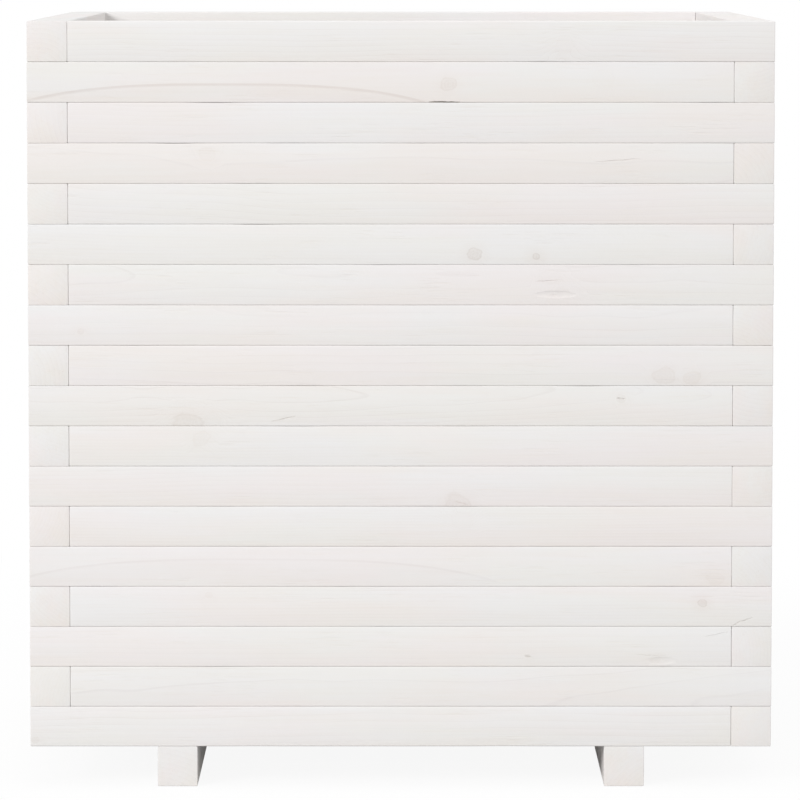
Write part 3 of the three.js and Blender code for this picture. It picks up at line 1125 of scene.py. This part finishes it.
def wood_screw(length, head_up):
    """A countersunk wood screw with a cross recess, its head's face at the origin."""
    body = turned_cutter([(0, 0), (SCREW_HEAD - EASE, 0), (SCREW_HEAD, -EASE),
                          (SCREW_SHANK, -SCREW_NECK), (SCREW_SHANK, SCREW_POINT - length),
                          (0, -length)], 24)
    screw = linked("screw", mesh_of("screw", body))
    for turn in (0, QUARTER_TURN):
        recess = bmesh.new()
        bmesh.ops.create_cube(recess, size=1.0)
        bmesh.ops.scale(recess, vec=SCREW_RECESS, verts=recess.verts)
        tips = [v for v in recess.verts if v.co.z < 0]
        bmesh.ops.scale(recess, vec=RECESS_TAPER, verts=tips)
        bmesh.ops.rotate(recess, verts=recess.verts, matrix=Matrix.Rotation(turn, 3, "Z"))
        combine(screw, recess, "DIFFERENCE")
    finished = bmesh.new()
    finished.from_mesh(screw.data)
    mesh = screw.data
    bpy.data.objects.remove(screw)
    bpy.data.meshes.remove(mesh)
    if not head_up:
        bmesh.ops.rotate(finished, verts=finished.verts, matrix=Matrix.Rotation(math.pi, 3, "X"))
    return finished


class PLANTER_OT_screws(bpy.types.Operator):
    """Drive the screws that hold the floor boards to the runners and the runners to the box"""

    bl_idname = "planter.screws"
    bl_label = "Screws"

    def execute(self, context):
        sunk = [place - Vector((0, 0, SCREW_SINK)) for place in floor_screw_places()]
        steel_piece("floor_screws", [copied(wood_screw(FLOOR_SCREW, True), sunk)])
        up = copied(wood_screw(RUNNER_SCREW, False), runner_screw_places())
        steel_piece("runner_screws", [up])
        return {"FINISHED"}


# ---------------- stage

WHITE = (1, 1, 1, 1)
KEY_AT, KEY_SIZE = (-6.3, -7.8, 4.3), 3.5
RIGHT_FILL_AT, BACK_FILL_AT, FILL_SIZE = (7.9, -1.8, 4.2), (2.2, 7.8, 4.1), 5.0
CAMERA_SIDE = -0.7 * MM  # from the planter's middle
FLOOR_RADIUS = 9.0
FLOOR_DROP = 0.1 * MM  # keeps the floor off the runners' undersides
FLOOR_WHITE = 0.95
SHADOW_REACH = (0.7, 1.6)  # where the floor's shading fades out, from the planter's middle
BOUNCE_REACH = (0.8, 1.6)
SHADE_SOFTNESS = 0.03  # at the edges of the full shade under the box
SHADE_FRONT = (-0.09, 0.03)  # where that shade starts, out of the front view's sight


def facing(thing, location, target):
    """Puts a lamp or a camera at a place, so that it looks at a point."""
    thing.location = location
    thing.rotation_euler = (target - Vector(location)).to_track_quat("-Z", "Y").to_euler()


def soft_lamp(name, location, size, power, target):
    """A square soft lamp that faces a point."""
    data = bpy.data.lights.new(name, "AREA")
    data.shape = "SQUARE"
    data.size = size
    data.energy = power
    facing(linked(name, data), location, target)


def white_sky(strength):
    """An even white sky: white where the camera sees it, and softer as light."""
    world = bpy.data.worlds.new("sky")
    bpy.context.scene.world = world
    sheet = NodeSheet(world)
    level = sheet.remap(sheet.seen(), 0.0, 1.0, strength, 1.0, smooth=False)
    sheet.finish(sheet.node("ShaderNodeBackground", WHITE, level), "ShaderNodeOutputWorld")


def pale_floor(sheet, shade, bounce, near_bounce):
    """A white floor that keeps a soft shadow near the planter, is fully shaded under the back
    of the box, where the gaps between the floor boards show it, and is clear from below."""
    place = sheet.own_place()
    away = sheet.length(place)
    seen = sheet.seen()
    across, back, _ = sheet.split(place)
    side, rear = BOX_WIDTH / 2, BOX_DEPTH / 2
    under = sheet.remap(sheet.math("ABSOLUTE", across), side, side - SHADE_SOFTNESS)
    for outer, inner in ((rear, rear - SHADE_SOFTNESS), SHADE_FRONT):
        under = sheet.times(under, sheet.remap(back, outer, inner))
    lit_share = sheet.most(sheet.remap(away, *SHADOW_REACH, shade, 0.0), under)
    white_share = sheet.times(seen, sheet.less(1.0, lit_share))
    thrown = sheet.mix(sheet.remap(away, *BOUNCE_REACH), (near_bounce,) * 3, (bounce,) * 3)
    lit = sheet.node("ShaderNodeBsdfDiffuse", sheet.mix(seen, thrown, (FLOOR_WHITE,) * 3))
    from_above = sheet.mix_shader(white_share, lit, sheet.node("ShaderNodeEmission", WHITE))
    from_below = sheet.node("ShaderNodeNewGeometry").outputs["Backfacing"]
    clear = sheet.node("ShaderNodeBsdfTransparent")
    return sheet.finish(sheet.mix_shader(from_below, from_above, clear))


class PLANTER_OT_stage(bpy.types.Operator):
    """Set up the floor, the sky, the lamps and the camera"""

    bl_idname = "planter.stage"
    bl_label = "Stage"

    def execute(self, context):
        scene = context.scene
        stage = scene.planter.stage
        middle = (CAD_BOX[0] + CAD_BOX[1]) / 2

        ground = bmesh.new()
        bmesh.ops.create_circle(ground, cap_ends=True, segments=64, radius=FLOOR_RADIUS)
        floor = linked("floor", mesh_of("floor", ground))
        floor.location.z = -FLOOR_DROP
        floor.data.materials.append(once(
            "pale_floor", pale_floor, stage.floor_shade, stage.floor_bounce, stage.near_bounce))

        white_sky(stage.sky_strength)
        soft_lamp("key", KEY_AT, KEY_SIZE, stage.key_power, middle)
        soft_lamp("right fill", RIGHT_FILL_AT, FILL_SIZE, stage.fill_power, middle)
        soft_lamp("back fill", BACK_FILL_AT, FILL_SIZE, stage.fill_power, middle)

        data = bpy.data.cameras.new("camera")
        data.lens = stage.lens
        data.clip_start, data.clip_end = 0.1, 100
        camera = linked("camera", data)
        front = CAD_BOX[0].y
        facing(camera, (CAMERA_SIDE, front - stage.camera_distance, stage.camera_height),
               Vector((CAMERA_SIDE, front, stage.aim_height)))
        scene.camera = camera
        scene.view_settings.view_transform = "Standard"
        return {"FINISHED"}


# ---------------- panel


class PLANTER_PT_panel(bpy.types.Panel):
    """The planter's settings, and a button for each group of pieces"""

    bl_idname = "PLANTER_PT_panel"
    bl_label = "Stacked Slat Planter"
    bl_space_type = "VIEW_3D"
    bl_region_type = "UI"
    bl_category = "Planter"

    def draw(self, context):
        settings = context.scene.planter
        for group in (settings.timber, settings.finish, settings.stage):
            box = self.layout.box()
            for name in group.__annotations__:
                box.prop(group, name)
        for side in WALLS:
            button = self.layout.operator(PLANTER_OT_wall.bl_idname, text=f"{side.title()} wall")
            button.side = side
        for operator in (PLANTER_OT_runners, PLANTER_OT_floor, PLANTER_OT_rods, PLANTER_OT_screws,
                         PLANTER_OT_stage):
            self.layout.operator(operator.bl_idname)


CLASSES = (PLANTER_PG_timber, PLANTER_PG_finish, PLANTER_PG_stage, PLANTER_PG_settings,
           PLANTER_OT_wall, PLANTER_OT_runners, PLANTER_OT_floor, PLANTER_OT_rods,
           PLANTER_OT_screws, PLANTER_OT_stage, PLANTER_PT_panel)


def register():
    for made in CLASSES:
        bpy.utils.register_class(made)
    bpy.types.Scene.planter = PointerProperty(type=PLANTER_PG_settings)


def unregister():
    del bpy.types.Scene.planter
    for made in reversed(CLASSES):
        bpy.utils.unregister_class(made)


def main():
    register()
    bpy.ops.planter.stage()
    for side in WALLS:
        bpy.ops.planter.wall(side=side)
    bpy.ops.planter.runners()
    bpy.ops.planter.floor()
    bpy.ops.planter.rods()
    bpy.ops.planter.screws()


if __name__ == "__main__":
    main()
